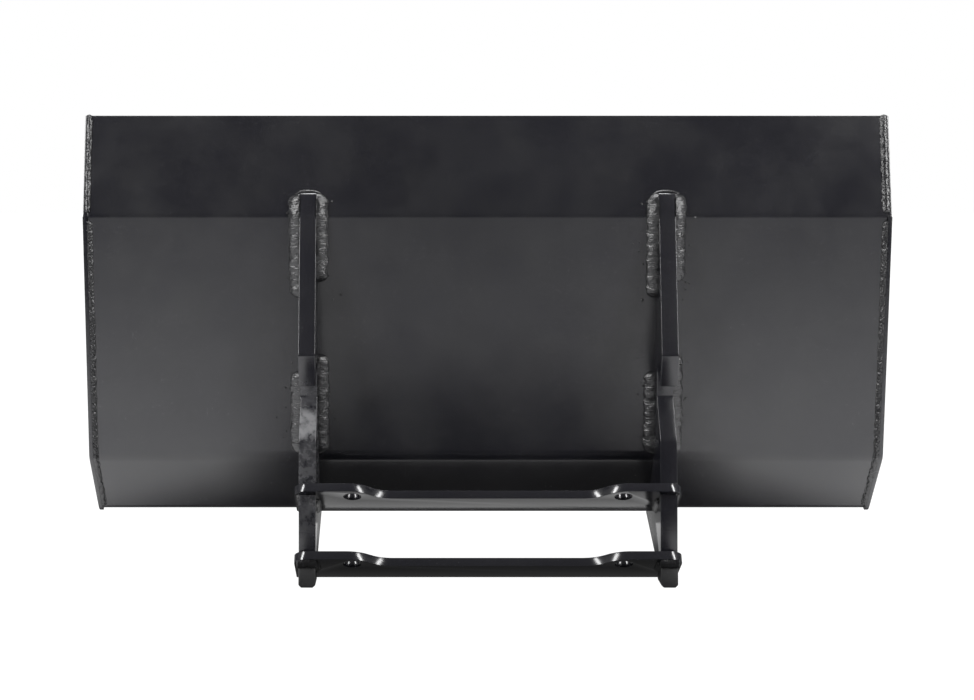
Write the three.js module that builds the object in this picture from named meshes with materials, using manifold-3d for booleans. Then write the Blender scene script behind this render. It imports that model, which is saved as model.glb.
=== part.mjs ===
// Loader bucket with a pair of hook brackets and two pinned crossbars, welded up from steel plate.
// Millimetres. +Z up, +Y from the brackets towards the cutting edge, +X to the right seen from behind.
// Every outline is drawn in the bucket's own side view: y forward, z up, zero at the heel's outer
// corner, with the floor's underside on z = 0. The finished assembly is then tipped onto its feet.

import * as THREE from 'three';
import { mergeVertices } from 'three/addons/utils/BufferGeometryUtils.js';
import Module from 'manifold-3d';

const wasm = await Module();
wasm.setup();

// ---- driving dimensions -------------------------------------------------------------------------

const BUCKET_WIDTH = 1219;        // 48 in across the side plates
const GAP = 0.3;                  // clearance kept between touching pieces

const SHEET = 5;                  // back and floor sheet
const BEND_RADIUS = 18;           // outside radius of the sheet's three bends
const BEND_STEPS = 4;
const LIP_BEHIND = 134.5;         // how far each bend stands behind the heel, and its height
const LIP_HEIGHT = 601.5;
const SHOULDER_BEHIND = 148;
const SHOULDER_HEIGHT = 448;
const KICK = 83;                  // the heel strip rises at 45 degrees
const FLOOR_REACH = 470;

const SIDE_PLATE = 6.4;
const SIDE_PROUD = 4;             // side plate edge standing behind the sheet
const SIDE_NOSE_REACH = 515;
const SIDE_NOSE_HEIGHT = 28;
const SIDE_TOP_DEPTH = 62;        // flat on top of the side plate, forward from the lip
const SIDE_HOLLOW = { reach: 165, height: 250 };   // control point of the hollow front edge

const EDGE_THICKNESS = 12.7;      // cutting edge, 1/2 in by 6 in
const EDGE_DEPTH = 152;
const EDGE_REACH = 552;
const EDGE_BEVEL = 26;
const EDGE_LIP = 3;

const PLATE = 25.4;               // hook plates and feet, 1 in
const PLATE_CENTRE = 270;
// The hook pocket is a slot that runs almost parallel to the back. nose and lip are the lengths of
// its near and far walls below the seat's middle.
const POCKET = { behind: 146.6, height: 208, radius: 16.8, nose: 14.9, lip: 37.4, slant: -10 };

const BAR_THICKNESS = 12.7;
const BAR_DEPTH = 80;
const BAR_HALF = 289.5;
const BAR_CORNER = 20;
const BAR_TILT = 25;              // degrees, falling away from the near edge
const BAR_UPPER = { behind: 166.5, height: 40.2 };
const BAR_LOWER = { behind: 168, height: -60.4 };
const NOTCH_DEPTH = 29;
const NOTCH_HALF = 160;
const TAB_INNER = 194;
const NOTCH_ROUND = 18;
const PIN_HOLE_RADIUS = 13.5;
const PIN_HOLE_X = 203;
const PIN_HOLE_DEPTH = 22;

const FOOT = { near: 160, far: 122, bottom: -109.6, chamfer: 4 };

const half = BUCKET_WIDTH / 2;
const sideInner = half - SIDE_PLATE;
const sheetHalf = sideInner - GAP;
const tilt = THREE.MathUtils.degToRad(BAR_TILT);
const edgeBottom = -GAP - EDGE_THICKNESS;
// The bucket stands on its two feet and on the tip of the cutting edge.
const pitch = Math.atan2(edgeBottom - FOOT.bottom, EDGE_REACH + FOOT.near);

// ---- finishes -----------------------------------------------------------------------------------

const powderCoat = () => new THREE.MeshStandardMaterial({
  color: 0x1d1d20, roughness: 0.32, metalness: 0.0,
});
const paintedWeld = () => new THREE.MeshStandardMaterial({
  color: 0x27272a, roughness: 0.42, metalness: 0.0,
});

// ---- outline helpers, all in the side view ------------------------------------------------------

const at = (y, z) => new THREE.Vector2(y, z);
const behind = (distance, z) => at(-distance, z);
const leftOf = (v) => at(-v.y, v.x);

/** Stations along a bent line: a point and its left-hand normal at each end and round each bend. */
function bentLine(corners, radius) {
  const stations = [];
  corners.forEach((corner, i) => {
    const before = i > 0 ? corner.clone().sub(corners[i - 1]).normalize() : null;
    const after = i < corners.length - 1 ? corners[i + 1].clone().sub(corner).normalize() : null;
    if (!before || !after) {
      stations.push({ point: corner.clone(), normal: leftOf(before ?? after) });
      return;
    }
    const side = Math.sign(before.cross(after));
    const turn = Math.acos(before.dot(after));
    const start = corner.clone().addScaledVector(before, -radius * Math.tan(turn / 2));
    const centre = start.clone().addScaledVector(leftOf(before), side * radius);
    for (let k = 0; k <= BEND_STEPS; k++) {
      const normal = leftOf(before).rotateAround(at(0, 0), side * turn * k / BEND_STEPS);
      stations.push({ point: centre.clone().addScaledVector(normal, -side * radius), normal });
    }
  });
  return stations;
}

const shifted = (stations, distance) => stations.map(
  ({ point, normal }) => point.clone().addScaledVector(normal, distance));

/** The part of a bent line between two distances measured along it. */
function stretchOf(stations, from, to) {
  const cut = [];
  let travelled = 0;
  for (let i = 1; i < stations.length; i++) {
    const [a, b] = [stations[i - 1], stations[i]];
    const length = a.point.distanceTo(b.point);
    const place = (distance) => {
      const t = (distance - travelled) / length;
      return {
        point: a.point.clone().lerp(b.point, t),
        normal: a.normal.clone().lerp(b.normal, t).normalize(),
      };
    };
    if (cut.length === 0 && travelled + length > from) cut.push(place(from));
    if (cut.length > 0 && travelled + length >= to) {
      cut.push(place(to));
      break;
    }
    if (cut.length > 0) cut.push(b);
    travelled += length;
  }
  return cut;
}

// ---- solid helpers ------------------------------------------------------------------------------

const sideways = new THREE.Matrix4().makeBasis(
  new THREE.Vector3(0, 1, 0), new THREE.Vector3(0, 0, 1), new THREE.Vector3(1, 0, 0));

function extrude(outline, depth, curveSegments = 8) {
  return new THREE.ExtrudeGeometry(outline, { depth, bevelEnabled: false, curveSegments });
}

/** A side-view outline made solid from one x to another. */
function slab(outline, fromX, toX) {
  const shape = outline instanceof THREE.Shape ? outline : new THREE.Shape(outline);
  return extrude(shape, toX - fromX).applyMatrix4(sideways).translate(fromX, 0, 0);
}

function solidOf(geometry) {
  const bare = geometry.clone();
  bare.deleteAttribute('normal');
  bare.deleteAttribute('uv');
  const merged = mergeVertices(bare, 1e-4);
  return new wasm.Manifold(new wasm.Mesh({
    numProp: 3,
    vertProperties: new Float32Array(merged.attributes.position.array),
    triVerts: new Uint32Array(merged.index.array),
  }));
}

function geometryOf(solid) {
  const mesh = solid.getMesh();
  const geometry = new THREE.BufferGeometry();
  geometry.setAttribute('position', new THREE.BufferAttribute(mesh.vertProperties, 3));
  geometry.setIndex(new THREE.BufferAttribute(mesh.triVerts, 1));
  geometry.computeVertexNormals();
  return geometry;
}

const bucket = new THREE.Group();

function addPiece(name, geometry, material) {
  const mesh = new THREE.Mesh(geometry, material);
  mesh.name = name;
  bucket.add(mesh);
  return mesh;
}

/** Runs a builder for each side: -1 is left and +1 is right, seen from behind. */
function eachSide(build) {
  build(-1, 'left');
  build(1, 'right');
}

/** Orders two distances from the middle plane as a low and a high x on one side. */
const span = (side, a, b) => [Math.min(side * a, side * b), Math.max(side * a, side * b)];

/**
 * A fillet bead in the corner between a face of constant x and a surface followed by stations.
 * away is the x direction it reaches in, out the sign of the normal it rises along.
 */
function bead(stations, cornerX, away, out, width, height) {
  let solid = null;
  for (let i = 1; i < stations.length; i++) {
    const from = stations[i - 1].point;
    const to = stations[i].point;
    const along = to.clone().sub(from).normalize();
    const rise = leftOf(along).multiplyScalar(out);
    const u = new THREE.Vector3(away, 0, 0);
    const v = new THREE.Vector3(0, rise.x, rise.y);
    const w = u.clone().cross(v);
    const forward = w.y * along.x + w.z * along.y > 0;
    const lap = height * 0.25;
    const startsInside = i > 1;
    const endsInside = i < stations.length - 1;
    const start = from.clone().addScaledVector(along, startsInside ? -lap : 0);
    const end = to.clone().addScaledVector(along, endsInside ? lap : 0);
    const origin = (forward ? start : end).addScaledVector(rise, GAP);
    const section = new THREE.Shape([
      at(0, 0), at(width, 0), at(width * 0.62, height * 0.62), at(0, height),
    ]);
    const place = new THREE.Matrix4().makeBasis(u, v, w)
      .setPosition(cornerX + away * GAP, origin.x, origin.y);
    const piece = solidOf(extrude(section, start.distanceTo(end)).applyMatrix4(place));
    solid = solid ? solid.add(piece) : piece;
  }
  return geometryOf(solid);
}

// ---- shell --------------------------------------------------------------------------------------

const lip = behind(LIP_BEHIND, LIP_HEIGHT);
const shoulder = behind(SHOULDER_BEHIND, SHOULDER_HEIGHT);
const kick = behind(KICK, KICK);
const heel = at(0, 0);
const floorFront = at(FLOOR_REACH, 0);
const backLine = bentLine([lip, shoulder, kick, heel, floorFront], BEND_RADIUS);
const lipToShoulder = lip.distanceTo(shoulder);
const lipToKick = lipToShoulder + shoulder.distanceTo(kick);
const lipToHeel = lipToKick + kick.distanceTo(heel);

function addShell() {
  const outline = [...shifted(backLine, 0), ...shifted(backLine, SHEET).reverse()];
  addPiece('shell_sheet', slab(outline, -sheetHalf, sheetHalf), powderCoat());
}

function sidePlateOutline() {
  const reach = BEND_STEPS + 1;                     // stations round the shoulder, after the lip
  const edge = backLine.slice(0, -1).map(({ point, normal }, i) => {
    const onLipStrip = i < reach;
    const onFloor = i === backLine.length - 2;
    return point.clone().addScaledVector(normal, onLipStrip || onFloor ? 0 : -SIDE_PROUD);
  });
  const outline = new THREE.Shape();
  outline.moveTo(edge[0].x, edge[0].y);
  edge.slice(1).forEach((point) => outline.lineTo(point.x, point.y));
  outline.lineTo(SIDE_NOSE_REACH, 0);
  outline.lineTo(SIDE_NOSE_REACH, SIDE_NOSE_HEIGHT);
  outline.quadraticCurveTo(
    SIDE_HOLLOW.reach, SIDE_HOLLOW.height, SIDE_TOP_DEPTH - LIP_BEHIND, LIP_HEIGHT - 6);
  outline.lineTo(SIDE_TOP_DEPTH - LIP_BEHIND - 12, LIP_HEIGHT);
  return outline;
}

function addSidePlates() {
  const outline = sidePlateOutline();
  eachSide((side, word) => {
    const [low, high] = span(side, sideInner, half);
    addPiece(`side_plate_${word}`, slab(outline, low, high), powderCoat());
  });
}

function addCuttingEdge() {
  const outline = [
    at(EDGE_REACH - EDGE_DEPTH, edgeBottom), at(EDGE_REACH, edgeBottom),
    at(EDGE_REACH, edgeBottom + EDGE_LIP), at(EDGE_REACH - EDGE_BEVEL, -GAP),
    at(EDGE_REACH - EDGE_DEPTH, -GAP),
  ];
  addPiece('cutting_edge', slab(outline, -half, half), powderCoat());
}

// ---- hook brackets ------------------------------------------------------------------------------

/** A point on a tilted bar: depth in from its near face, rise above its middle. */
function onBar(bar, depth, rise) {
  return at(
    -bar.behind + depth * Math.cos(tilt) + rise * Math.sin(tilt),
    bar.height - depth * Math.sin(tilt) + rise * Math.cos(tilt));
}

const lowerBarTop = (depth) => onBar(BAR_LOWER, depth, BAR_THICKNESS / 2 + GAP);
const lowerBarUnder = (depth) => onBar(BAR_LOWER, depth, -BAR_THICKNESS / 2 - GAP);
const depthOnLowerBar = (distance, rise) =>
  (BAR_LOWER.behind - distance - rise * Math.sin(tilt)) / Math.cos(tilt);

const PLATE_TOP = 482;
const plateBottomNear = depthOnLowerBar(156, BAR_THICKNESS / 2);
const plateBottomFar = depthOnLowerBar(115.5, BAR_THICKNESS / 2);

function hookPlateOutline() {
  const slant = THREE.MathUtils.degToRad(POCKET.slant);
  const downMouth = at(-Math.sin(slant), -Math.cos(slant));
  const centre = behind(POCKET.behind, POCKET.height);
  const acrossNear = leftOf(downMouth).multiplyScalar(-1);    // from the pocket's middle, backwards
  const noseTip = centre.clone().addScaledVector(acrossNear, POCKET.radius)
    .addScaledVector(downMouth, POCKET.nose);
  const lowerLip = centre.clone().addScaledVector(acrossNear, -POCKET.radius)
    .addScaledVector(downMouth, POCKET.lip);
  const against = shifted(stretchOf(backLine, lipToShoulder - (PLATE_TOP - SHOULDER_HEIGHT),
    lipToHeel - 2), -GAP);

  const outline = new THREE.Shape();
  outline.moveTo(against[0].x, against[0].y);
  against.slice(1).forEach((point) => outline.lineTo(point.x, point.y));
  outline.lineTo(2, -8);
  const bottomFar = lowerBarTop(plateBottomFar);
  const bottomNear = lowerBarTop(plateBottomNear);
  outline.lineTo(bottomFar.x, bottomFar.y);
  outline.lineTo(bottomNear.x, bottomNear.y);
  outline.lineTo(-158.5, 46);
  outline.lineTo(-155.8, 108);
  outline.quadraticCurveTo(-155.5, 112, -153.5, 116);         // foot of the ramp up to the lip
  outline.lineTo(lowerLip.x - 2.1, lowerLip.y - 4.5);
  const onWall = lowerLip.clone().addScaledVector(downMouth, -4);
  outline.quadraticCurveTo(lowerLip.x, lowerLip.y, onWall.x, onWall.y);
  const arcStart = Math.atan2(-acrossNear.y, -acrossNear.x);
  outline.absarc(centre.x, centre.y, POCKET.radius, arcStart, arcStart + Math.PI, false);
  outline.lineTo(noseTip.x, noseTip.y);
  outline.lineTo(noseTip.x - 4.5, noseTip.y - 0.3);
  outline.lineTo(-178.4, 234);
  outline.quadraticCurveTo(-178.8, 237, -178, 241);
  outline.lineTo(-155, 467);
  outline.quadraticCurveTo(-153, 480, against[0].x - 3, PLATE_TOP);
  return outline;
}

function addHookPlates() {
  const slot = [
    onBar(BAR_UPPER, -40, -BAR_THICKNESS / 2 - GAP), onBar(BAR_UPPER, -40, BAR_THICKNESS / 2 + GAP),
    onBar(BAR_UPPER, BAR_DEPTH + GAP, BAR_THICKNESS / 2 + GAP),
    onBar(BAR_UPPER, BAR_DEPTH + GAP, -BAR_THICKNESS / 2 - GAP),
  ];
  eachSide((side, word) => {
    const [low, high] = span(side, PLATE_CENTRE - PLATE / 2, PLATE_CENTRE + PLATE / 2);
    const blank = solidOf(slab(hookPlateOutline(), low, high));
    const cut = solidOf(slab(slot, low - 5, high + 5));
    addPiece(`hook_plate_${word}`, geometryOf(blank.subtract(cut)), powderCoat());
  });
}

/** Plan of a crossbar: x across, y in from the near face of its two pinned tabs. */
function crossbarOutline() {
  const outline = new THREE.Shape();
  const slope = at(NOTCH_HALF - TAB_INNER, NOTCH_DEPTH).normalize();
  outline.moveTo(-BAR_HALF, BAR_DEPTH);
  outline.lineTo(-BAR_HALF, BAR_CORNER);
  outline.absarc(-BAR_HALF + BAR_CORNER, BAR_CORNER, BAR_CORNER, Math.PI, 1.5 * Math.PI, false);
  outline.lineTo(-TAB_INNER - NOTCH_ROUND, 0);
  outline.quadraticCurveTo(
    -TAB_INNER, 0, -TAB_INNER - NOTCH_ROUND * slope.x, NOTCH_ROUND * slope.y);
  outline.lineTo(-NOTCH_HALF + NOTCH_ROUND * slope.x, NOTCH_DEPTH - NOTCH_ROUND * slope.y);
  outline.quadraticCurveTo(-NOTCH_HALF, NOTCH_DEPTH, -NOTCH_HALF + NOTCH_ROUND, NOTCH_DEPTH);
  outline.lineTo(NOTCH_HALF - NOTCH_ROUND, NOTCH_DEPTH);
  outline.quadraticCurveTo(NOTCH_HALF, NOTCH_DEPTH,
    NOTCH_HALF - NOTCH_ROUND * slope.x, NOTCH_DEPTH - NOTCH_ROUND * slope.y);
  outline.lineTo(TAB_INNER + NOTCH_ROUND * slope.x, NOTCH_ROUND * slope.y);
  outline.quadraticCurveTo(TAB_INNER, 0, TAB_INNER + NOTCH_ROUND, 0);
  outline.lineTo(BAR_HALF - BAR_CORNER, 0);
  outline.absarc(BAR_HALF - BAR_CORNER, BAR_CORNER, BAR_CORNER, 1.5 * Math.PI, 2 * Math.PI, false);
  outline.lineTo(BAR_HALF, BAR_DEPTH);
  for (const side of [-1, 1]) {
    const hole = new THREE.Path();
    hole.absarc(side * PIN_HOLE_X, PIN_HOLE_DEPTH, PIN_HOLE_RADIUS, 0, 2 * Math.PI, true);
    outline.holes.push(hole);
  }
  return outline;
}

function addCrossbars() {
  for (const [word, bar] of [['upper', BAR_UPPER], ['lower', BAR_LOWER]]) {
    const geometry = extrude(crossbarOutline(), BAR_THICKNESS, 14)
      .translate(0, 0, -BAR_THICKNESS / 2);
    const mesh = addPiece(`crossbar_${word}`, geometry, powderCoat());
    mesh.rotation.x = -tilt;
    mesh.position.set(0, -bar.behind, bar.height);
  }
}

/** Height of the ground under the tipped bucket, at a place in the bucket's own side view. */
const groundAt = (y) => edgeBottom + (y - EDGE_REACH) * Math.tan(pitch);

function addFeet() {
  const topNear = lowerBarUnder(depthOnLowerBar(FOOT.near, -BAR_THICKNESS / 2));
  const topFar = lowerBarUnder(depthOnLowerBar(FOOT.far, -BAR_THICKNESS / 2));
  const sideView = [
    topNear, topFar, at(topFar.x, groundAt(topFar.x)), at(topNear.x, groundAt(topNear.x)),
  ];
  eachSide((side, word) => {
    const [low, high] = span(side, PLATE_CENTRE - PLATE / 2, PLATE_CENTRE + PLATE / 2);
    const bottom = groundAt(topNear.x);
    const top = FOOT.bottom + 60;
    const rearView = new THREE.Shape([
      at(low, bottom + FOOT.chamfer), at(low + FOOT.chamfer, bottom - 0.01),
      at(high - FOOT.chamfer, bottom - 0.01), at(high, bottom + FOOT.chamfer),
      at(high, top), at(low, top),
    ]);
    // The rear view is pushed through parallel to the ground, so the chamfers run true.
    const through = extrude(rearView, 90).applyMatrix4(new THREE.Matrix4().makeBasis(
      new THREE.Vector3(1, 0, 0), new THREE.Vector3(0, 0, 1), new THREE.Vector3(0, -1, 0)))
      .translate(0, topFar.x + 20, 0);
    through.applyMatrix4(new THREE.Matrix4().set(
      1, 0, 0, 0, 0, 1, 0, 0, 0, Math.tan(pitch), 1, -topNear.x * Math.tan(pitch), 0, 0, 0, 1));
    const block = solidOf(slab(sideView, low, high)).intersect(solidOf(through));
    addPiece(`foot_${word}`, geometryOf(block), powderCoat());
  });
}

// ---- welds --------------------------------------------------------------------------------------

const STITCH_WIDTH = 14;           // reach of a stitch weld over the sheet, and up the plate
const STITCH_HEIGHT = 10;
const TOP_WELD_WIDTH = 8;
const TOP_WELD_HEIGHT = 5;
const TOP_WELD_LAP = 7;            // how far the top weld runs past each face of the plate
const SEAM_WIDTH = 7;
const LIP_WELD_RISE = 2;           // the corner beads stand this far above the lip
// Distances along the back from the lip. The welder worked from one end: the beads on every plate's
// left face, seen from behind, run lower than those on its right face.
const HOOK_STITCHES = {
  upper: { left: { from: 121, to: 279 }, right: { from: 121, to: 255 } },
  lower: { left: { from: 391, to: 519 }, right: { from: 365, to: 519 } },
};
const HEEL_STITCH = { from: 549, to: 575, leg: 5 };

function addHookWelds() {
  eachSide((side, word) => {
    for (const [place, runs] of Object.entries(HOOK_STITCHES)) {
      for (const face of [-1, 1]) {
        const { from, to } = face < 0 ? runs.left : runs.right;
        const which = face === side ? 'outer' : 'inner';
        const corner = side * PLATE_CENTRE + face * PLATE / 2;
        const geometry = bead(
          stretchOf(backLine, from, to), corner, face, -1, STITCH_WIDTH, STITCH_HEIGHT);
        addPiece(`hook_weld_${place}_${which}_${word}`, geometry, paintedWeld());
      }
    }
    const { from, to, leg } = HEEL_STITCH;
    const corner = side * (PLATE_CENTRE + PLATE / 2);
    addPiece(`hook_weld_heel_${word}`,
      bead(stretchOf(backLine, from, to), corner, side, -1, leg, leg), paintedWeld());
  });
}

/** Fillet over the top end of each hook plate, running across it on the lip strip. */
function addHookTopWelds() {
  const along = shoulder.clone().sub(lip).normalize();
  const out = leftOf(along).multiplyScalar(-1);
  const reach = lipToShoulder - (PLATE_TOP - SHOULDER_HEIGHT) - 1;
  const foot = lip.clone().addScaledVector(along, reach).addScaledVector(out, GAP);
  const outline = [
    foot, foot.clone().addScaledVector(along, -TOP_WELD_WIDTH),
    foot.clone().addScaledVector(along, -TOP_WELD_WIDTH * 0.4).addScaledVector(out, TOP_WELD_HEIGHT),
    foot.clone().addScaledVector(out, TOP_WELD_HEIGHT),
  ];
  eachSide((side, word) => {
    const reachX = PLATE / 2 + TOP_WELD_LAP;
    const [low, high] = span(side, PLATE_CENTRE - reachX, PLATE_CENTRE + reachX);
    addPiece(`hook_weld_top_${word}`, slab(outline, low, high), paintedWeld());
  });
}

function addSideSeams() {
  eachSide((side, word) => {
    const line = stretchOf(backLine, lipToShoulder + 8, lipToHeel - 6);
    const inner = side * sideInner;
    addPiece(`side_seam_weld_${word}`,
      bead(line, inner, -side, -1, SEAM_WIDTH, SIDE_PROUD - GAP), paintedWeld());
    const inside = shifted(stretchOf(backLine, 4, lipToHeel + FLOOR_REACH - 30), SHEET)
      .map((point) => ({ point }));
    addPiece(`inner_seam_weld_${word}`,
      bead(inside, inner, -side, 1, 6, 6), paintedWeld());
    const [low, high] = span(side, sheetHalf - 6, half);
    const corner = stretchOf(backLine, -LIP_WELD_RISE, lipToShoulder - 4);
    const onEdge = [...shifted(corner, -GAP), ...shifted(corner, -3.4).reverse()];
    addPiece(`lip_corner_weld_${word}`, slab(onEdge, low, high), paintedWeld());
  });
}

function addEdgeWelds() {
  const leg = SHEET;
  const front = [
    at(FLOOR_REACH + GAP, 0), at(FLOOR_REACH + GAP + leg, 0),
    at(FLOOR_REACH + GAP + leg * 0.6, leg * 0.6), at(FLOOR_REACH + GAP, leg),
  ];
  addPiece('edge_weld_inner', slab(front, -sheetHalf, sheetHalf), paintedWeld());
  const back = EDGE_REACH - EDGE_DEPTH - GAP;
  const under = [
    at(back, -GAP), at(back, -10), at(back - 5.5, -6), at(back - 9, -GAP),
  ];
  addPiece('edge_weld_under', slab(under, -sheetHalf, sheetHalf), paintedWeld());
}

/** A channel-shaped bead round the upper bar where it comes out of each hook plate. */
function addUpperBarWelds() {
  const clear = BAR_THICKNESS / 2 + GAP;
  const wide = clear + 4.5;
  const outline = [
    onBar(BAR_UPPER, 14, clear), onBar(BAR_UPPER, BAR_DEPTH + GAP, clear),
    onBar(BAR_UPPER, BAR_DEPTH + GAP, -clear), onBar(BAR_UPPER, 14, -clear),
    onBar(BAR_UPPER, 10, -wide), onBar(BAR_UPPER, BAR_DEPTH + 4.8, -wide),
    onBar(BAR_UPPER, BAR_DEPTH + 4.8, wide), onBar(BAR_UPPER, 14, wide),
  ];
  const outer = PLATE_CENTRE + PLATE / 2 + GAP;
  eachSide((side, word) => {
    const [low, high] = span(side, outer, outer + 4.5);
    addPiece(`crossbar_upper_weld_${word}`, slab(outline, low, high), paintedWeld());
  });
}

/** Fillet where each hook plate lands on the lower bar's top face. */
function addLowerBarWelds() {
  const [start, end] = [plateBottomNear + 1, plateBottomFar - 1];
  const rise = BAR_THICKNESS / 2 + GAP;
  const outline = [
    onBar(BAR_LOWER, start, rise), onBar(BAR_LOWER, end, rise),
    onBar(BAR_LOWER, end, rise + 5), onBar(BAR_LOWER, start, rise + 5),
  ];
  const outer = PLATE_CENTRE + PLATE / 2 + GAP;
  eachSide((side, word) => {
    const [low, high] = span(side, outer, outer + 5);
    addPiece(`crossbar_lower_weld_${word}`, slab(outline, low, high), paintedWeld());
  });
}

/** Heavy fillet in front of each foot, under the lower bar's overhang. */
function addFootWelds() {
  const depth = depthOnLowerBar(FOOT.near, -BAR_THICKNESS / 2);
  const root = lowerBarUnder(depth).add(at(-GAP, 0));
  const rimNear = lowerBarUnder(1.5);
  const outline = [root, rimNear, at(root.x - 4, root.y - 6), at(root.x, root.y - 10)];
  eachSide((side, word) => {
    const [low, high] = span(side, PLATE_CENTRE - PLATE / 2 - 3, PLATE_CENTRE + PLATE / 2 + 3);
    addPiece(`foot_weld_${word}`, slab(outline, low, high), paintedWeld());
  });
}

// ---- assembly -----------------------------------------------------------------------------------

addShell();
addSidePlates();
addCuttingEdge();
addHookPlates();
addCrossbars();
addFeet();
addHookWelds();
addHookTopWelds();
addSideSeams();
addEdgeWelds();
addUpperBarWelds();
addLowerBarWelds();
addFootWelds();

// Tipped onto feet and cutting edge, with the origin at the middle of the footprint on the ground.
bucket.rotation.x = -pitch;
const stance = new THREE.Group();
stance.add(bucket);
stance.updateMatrixWorld(true);
const box = new THREE.Box3().setFromObject(stance, true);
bucket.position.set(0, -(box.min.y + box.max.y) / 2, -box.min.z);

export default stance;
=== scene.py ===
"""Looks for a loader bucket: bent sheet, cut plate, rippled weld beads and gloss black powder coat."""
import logging
import math
import random
from collections.abc import Callable, Iterator
from dataclasses import dataclass, field
from enum import Enum

import bmesh
import bpy
from mathutils import Matrix, Vector, noise


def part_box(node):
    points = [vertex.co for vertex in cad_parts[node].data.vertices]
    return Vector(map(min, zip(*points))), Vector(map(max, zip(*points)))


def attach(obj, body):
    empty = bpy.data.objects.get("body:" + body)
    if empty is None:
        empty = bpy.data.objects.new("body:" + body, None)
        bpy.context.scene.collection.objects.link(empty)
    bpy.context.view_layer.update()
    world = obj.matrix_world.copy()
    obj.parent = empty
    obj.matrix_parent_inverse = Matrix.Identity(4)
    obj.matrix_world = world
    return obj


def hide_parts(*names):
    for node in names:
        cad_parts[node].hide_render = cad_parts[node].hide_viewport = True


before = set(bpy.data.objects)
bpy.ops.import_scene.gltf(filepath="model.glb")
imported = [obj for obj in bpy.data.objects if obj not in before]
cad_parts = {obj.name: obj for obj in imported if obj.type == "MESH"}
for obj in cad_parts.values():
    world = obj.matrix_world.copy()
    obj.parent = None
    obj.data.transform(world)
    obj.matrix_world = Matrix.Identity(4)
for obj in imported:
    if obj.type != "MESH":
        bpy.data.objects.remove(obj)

log = logging.getLogger("bucket")
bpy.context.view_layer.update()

MM = 0.001
BODY = "root"

HOOK_PLATE = 25.4           # thickness of the hook plates, in millimetres
HOOK_CENTRE = 270.0         # distance of each from the middle, in millimetres


class Hand(Enum):
    """The two ends of the bucket, as seen from behind it."""

    LEFT = -1
    RIGHT = 1

    @property
    def word(self) -> str:
        """The hand as it is written in the names of pieces."""
        return self.name.lower()


# ---- shape of the back, in the bucket's own side view -------------------------------------------


@dataclass(frozen=True)
class Station:
    """A place on the outside of the back.

    Attributes:
        point: the place, in the row frame, on the plane x = 0.
        out: the unit direction away from the sheet.
    """

    point: Vector
    out: Vector


@dataclass(frozen=True)
class BackLine:
    """The outside of the bent sheet, from the lip down to the heel and along under the floor.

    All sizes are in millimetres, as the sheet is drawn before the bucket is tipped onto its feet.

    Attributes:
        corners: distance behind the heel and height above the floor of each fold and end.
        bend_radius: outside radius of the sharpest bend.
        sheet: thickness of the sheet.
        edge_drop: how far the cutting edge's tip lies below the floor's underside.
        edge_reach: how far in front of the heel that tip is.
        foot_behind: how far behind the heel the feet stand.
        foot_drop: how far they reach below the floor's underside.
    """

    corners: tuple[tuple[float, float], ...] = (
        (134.5, 601.5), (148.0, 448.0), (83.0, 83.0), (0.0, 0.0), (-470.0, 0.0))
    bend_radius: float = 18.0
    sheet: float = 5.0
    edge_drop: float = 13.0
    edge_reach: float = 552.0
    foot_behind: float = 160.0
    foot_drop: float = 109.6

    @property
    def pitch(self) -> float:
        """How far the bucket noses down when it stands on its feet and cutting edge."""
        return math.atan2(self.foot_drop - self.edge_drop, self.edge_reach + self.foot_behind)

    def placed(self, behind: float, height: float, x: float = 0.0) -> Vector:
        """Puts a place from the side view into the row frame.

        Args:
            behind: distance behind the heel, in millimetres.
            height: height above the floor's underside, in millimetres.
            x: place along the width, in metres.

        Returns:
            The point in the row frame, in metres.
        """
        tip = Vector((0.0, self.edge_reach, -self.edge_drop))
        turn = Matrix.Rotation(-self.pitch, 3, "X")
        high_tip = turn @ (tip + Vector((0.0, 0.0, 3.0)))
        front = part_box("cutting_edge")[1].y
        shift = Vector((x, front - high_tip.y * MM, -(turn @ tip).z * MM))
        return turn @ Vector((0.0, -behind, height)) * MM + shift

    def turned(self, behind: float, height: float) -> Vector:
        """A direction from the side view, in the row frame."""
        return (Matrix.Rotation(-self.pitch, 3, "X") @ Vector((0.0, -behind, height))).normalized()

    def at(self, travel: float) -> Station:
        """The place on the outside that lies so far along from the lip.

        Args:
            travel: distance from the lip, in millimetres, measured along the outer corners.

        Returns:
            The station there. Near a bend its direction turns evenly from one face to the next.
        """
        left = travel
        faces = list(zip(self.corners, self.corners[1:]))
        for index, (start, end) in enumerate(faces):
            length = math.dist(start, end)
            if left <= length or index == len(faces) - 1:
                break
            left -= length
        along = ((end[0] - start[0]) / length, (end[1] - start[1]) / length)
        spot = (start[0] + along[0] * left, start[1] + along[1] * left)
        out = Vector((-along[1], along[0]))
        reach = self.bend_radius
        for near, other in ((left, index - 1), (length - left, index + 1)):
            if near < reach and 0 <= other < len(faces):
                a, b = faces[other]
                size = math.dist(a, b)
                beyond = Vector((-(b[1] - a[1]) / size, (b[0] - a[0]) / size))
                out = out.lerp(beyond, 0.5 * (1 - near / reach)).normalized()
        return Station(self.placed(*spot), self.turned(out.x, out.y))

    def travel_to(self, corner: int) -> float:
        """Distance from the lip to one of the corners, in millimetres."""
        pairs = zip(self.corners[:corner], self.corners[1:corner + 1])
        return sum(math.dist(a, b) for a, b in pairs)


BACK = BackLine()


# ---- mesh helpers -------------------------------------------------------------------------------


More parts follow.
